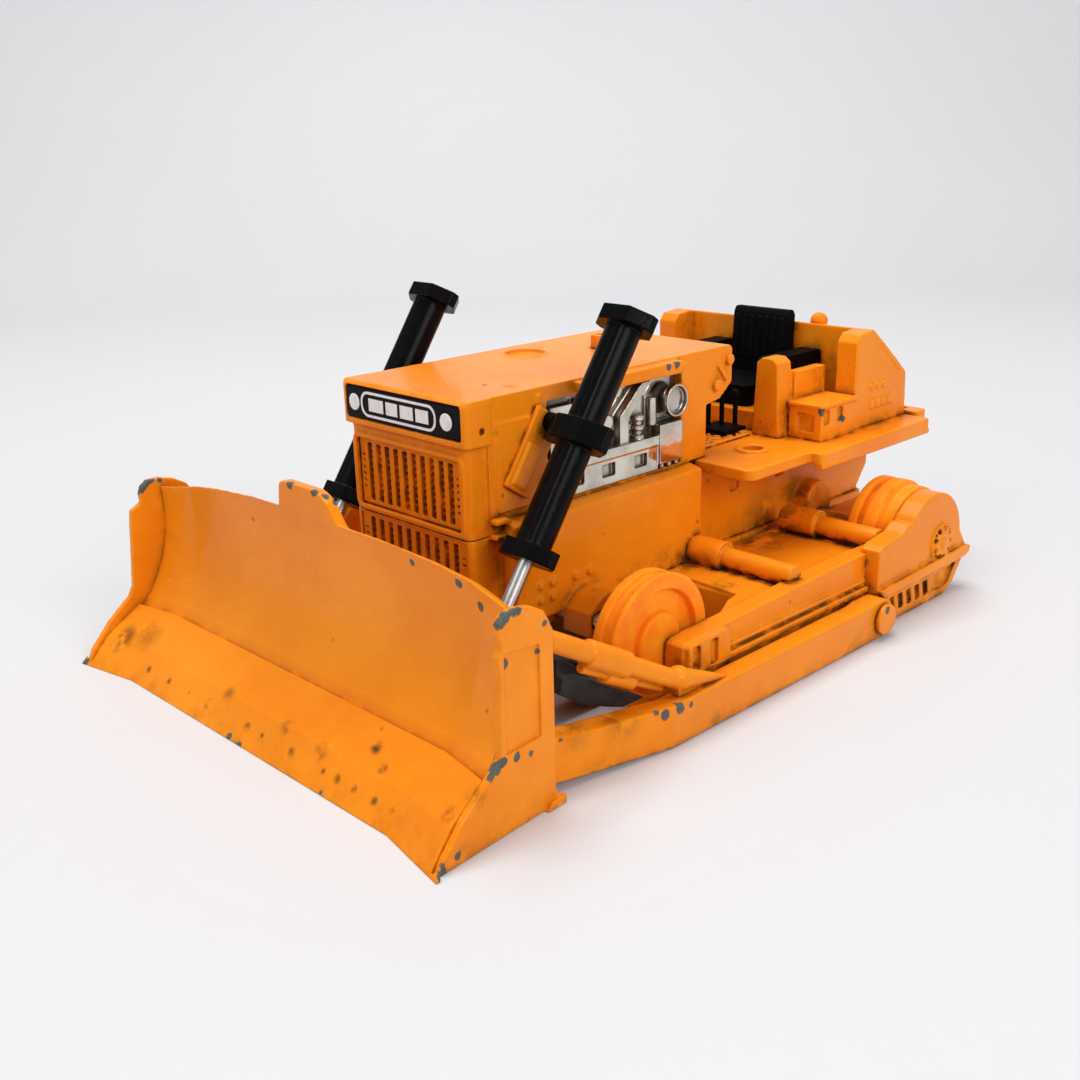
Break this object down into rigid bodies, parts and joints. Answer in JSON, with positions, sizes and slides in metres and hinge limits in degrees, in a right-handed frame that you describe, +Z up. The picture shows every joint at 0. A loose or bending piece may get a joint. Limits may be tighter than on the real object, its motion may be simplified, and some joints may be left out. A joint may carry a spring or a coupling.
{
  "type": "toy bulldozer",
  "caption": "Die-cast toy crawler bulldozer: a curved blade on push arms, raised by telescoping lift cylinders, with open operator's station and turning track wheels.",
  "frame": {"origin": "on the ground plane, under the middle of the overall length and width of the whole machine", "axes": "+X towards the blade, +Y the machine's left side, +Z up"},
  "size_m": [0.1082, 0.07, 0.0444],
  "materials": {
    "orange_paint": "glossy orange-yellow enamel on die-cast metal, worn at edges, dust in corners",
    "orange_plastic": "slightly translucent saturated orange plastic",
    "black_plastic": "semi-matte black moulded plastic",
    "chrome_plate": "bright vacuum plating on plastic",
    "steel": "plain drawn steel",
    "white_plastic": "white paint dots",
    "track_rubber": "dull black rubber with tread bars"
  },
  "bodies": {
    "chassis": {"hull": "orange_paint", "base_plate": "orange_paint", "base_screws": "steel", "rear_hull": "orange_paint", "hood": "orange_paint", "exhaust_stub": "orange_paint", "radiator_grille": "orange_paint", "front_badge": "black_plastic", "marker_lamps": "white_plastic", "engine_left": "chrome_plate", "engine_right": "chrome_plate", "headlamp_left": "chrome_plate", "headlamp_right": "chrome_plate", "lift_bracket_left": "orange_paint", "lift_bracket_right": "orange_paint", "deck": "orange_paint", "rear_bumper": "orange_paint", "tread_floor": "orange_paint", "fuel_tank": "orange_paint", "filler_cap": "orange_paint", "side_console_left": "orange_paint", "side_console_right": "orange_paint", "step_box_left": "orange_paint", "step_box_right": "orange_paint", "seat_base": "orange_paint", "seat": "black_plastic", "armrests": "black_plastic", "control_levers": "black_plastic", "track_frame_left": "orange_paint", "track_frame_right": "orange_paint", "carrier_rollers_left": "orange_paint", "carrier_rollers_right": "orange_paint", "sprocket_guard_left": "orange_paint", "sprocket_guard_right": "orange_paint", "front_axle": "steel", "rear_axle": "steel", "arm_pivot_left": "orange_paint", "arm_pivot_right": "orange_paint", "track_left": "track_rubber", "track_right": "track_rubber"},
    "blade_assembly": {"blade": "orange_paint", "cutting_edge": "orange_paint", "end_plate_left": "orange_paint", "end_plate_right": "orange_paint", "push_arm_left": "orange_paint", "push_arm_right": "orange_paint", "tilt_brace_left": "orange_paint", "tilt_brace_right": "orange_paint", "lift_lug_left": "orange_paint", "lift_lug_right": "orange_paint", "lug_pin_left": "steel", "lug_pin_right": "steel"},
    "barrel_left": {"lift_barrel_left": "black_plastic"},
    "rod_left": {"lift_rod_left": "steel"},
    "idler_wheel_left": {"idler_left": "orange_plastic"},
    "sprocket_wheel_left": {"sprocket_left": "orange_plastic"},
    "barrel_right": {"lift_barrel_right": "black_plastic"},
    "rod_right": {"lift_rod_right": "steel"},
    "idler_wheel_right": {"idler_right": "orange_plastic"},
    "sprocket_wheel_right": {"sprocket_right": "orange_plastic"}
  },
  "joints": [
    {"name": "blade_lift", "type": "hinge", "parent": "chassis", "child": "blade_assembly", "pos_m": [-0.0207, 0, 0.0026], "axis": [0, -1, 0], "range_deg": [0, 12]},
    {"name": "barrel_swing_left", "type": "hinge", "parent": "chassis", "child": "barrel_left", "pos_m": [0.0159, 0.0168, 0.0314], "axis": [0, -1, 0], "range_deg": [0, 13]},
    {"name": "rod_slide_left", "type": "slide", "parent": "barrel_left", "child": "rod_left", "axis": [-0.5659, 0, 0.8244], "range_m": [0, 0.01]},
    {"name": "idler_spin_left", "type": "hinge", "parent": "chassis", "child": "idler_wheel_left", "pos_m": [0.0145, 0.0255, 0.0084], "axis": [0, 1, 0], "continuous": true},
    {"name": "sprocket_spin_left", "type": "hinge", "parent": "chassis", "child": "sprocket_wheel_left", "pos_m": [-0.0366, 0.0257, 0.0084], "axis": [0, 1, 0], "continuous": true},
    {"name": "barrel_swing_right", "type": "hinge", "parent": "chassis", "child": "barrel_right", "pos_m": [0.0159, -0.0168, 0.0314], "axis": [0, -1, 0], "range_deg": [0, 13]},
    {"name": "rod_slide_right", "type": "slide", "parent": "barrel_right", "child": "rod_right", "axis": [-0.5659, 0, 0.8244], "range_m": [0, 0.01]},
    {"name": "idler_spin_right", "type": "hinge", "parent": "chassis", "child": "idler_wheel_right", "pos_m": [0.0145, -0.0255, 0.0084], "axis": [0, 1, 0], "continuous": true},
    {"name": "sprocket_spin_right", "type": "hinge", "parent": "chassis", "child": "sprocket_wheel_right", "pos_m": [-0.0366, -0.0257, 0.0084], "axis": [0, 1, 0], "continuous": true}
  ],
  "couplings": [
    {"joint": "barrel_swing_left", "follows": "blade_lift", "ratio": 1.0489},
    {"joint": "rod_slide_left", "follows": "blade_lift", "m_per_rad": 0.046465},
    {"joint": "barrel_swing_right", "follows": "blade_lift", "ratio": 1.0489},
    {"joint": "rod_slide_right", "follows": "blade_lift", "m_per_rad": 0.046465},
    {"joint": "idler_spin_right", "follows": "sprocket_spin_right", "ratio": 1}
  ]
}
